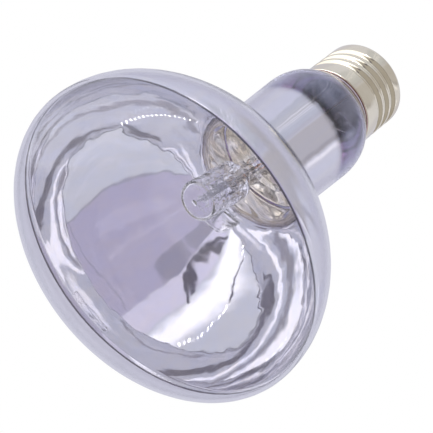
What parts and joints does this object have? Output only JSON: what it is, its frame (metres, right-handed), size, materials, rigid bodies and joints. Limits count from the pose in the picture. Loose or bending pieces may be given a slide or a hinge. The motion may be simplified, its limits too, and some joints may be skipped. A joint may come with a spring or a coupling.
{
  "type": "basking spot bulb",
  "caption": "Reflector spot lamp: domed tinted glass face, silvered back and neck, clear inner capsule with a coiled filament, and a screw cap with a round rolled thread.",
  "frame": {"origin": "lowest point of the domed face, on the lamp axis, where the lamp stands on a surface", "axes": "+Z along the lamp axis from the face to the cap; X through the two lead wires, with the soldered side lead at -X"},
  "size_m": [0.094, 0.094, 0.126],
  "materials": {
    "tinted_glass": "clear gloss, faint violet tint",
    "mirror_film": "bright aluminium film",
    "stem_glass": "clear gloss",
    "capsule_glass": "clear gloss",
    "shield_metal": "stamped, warm sheen",
    "lead_wire": "drawn wire",
    "copper_wire": "copper sheathed wire",
    "tungsten": "dull grey wire",
    "ceramic": "unglazed ceramic",
    "plated_shell": "bright nickel plate",
    "black_insulator": "black fused glass",
    "contact_brass": "satin",
    "solder": "dull solder",
    "cement": "brown cement"
  },
  "bodies": {
    "root": {"bulb_envelope": "tinted_glass", "mirror_coating": "mirror_film", "glass_stem": "stem_glass", "heat_shield": "shield_metal", "contact_lead": "copper_wire", "shell_lead": "copper_wire", "capsule_glass": "capsule_glass", "filament": "tungsten", "filament_return": "tungsten", "screw_shell": "plated_shell", "cap_insulator": "black_insulator", "centre_contact": "contact_brass", "centre_solder": "solder", "side_solder": "solder", "basing_cement": "cement", "inner_lead_left": "lead_wire", "seal_wire_left": "copper_wire", "shield_eyelet_left": "ceramic", "capsule_pin_left": "copper_wire", "seal_foil_left": "tungsten", "inner_lead_right": "lead_wire", "seal_wire_right": "copper_wire", "shield_eyelet_right": "ceramic", "capsule_pin_right": "copper_wire", "seal_foil_right": "tungsten"}
  },
  "joints": []
}
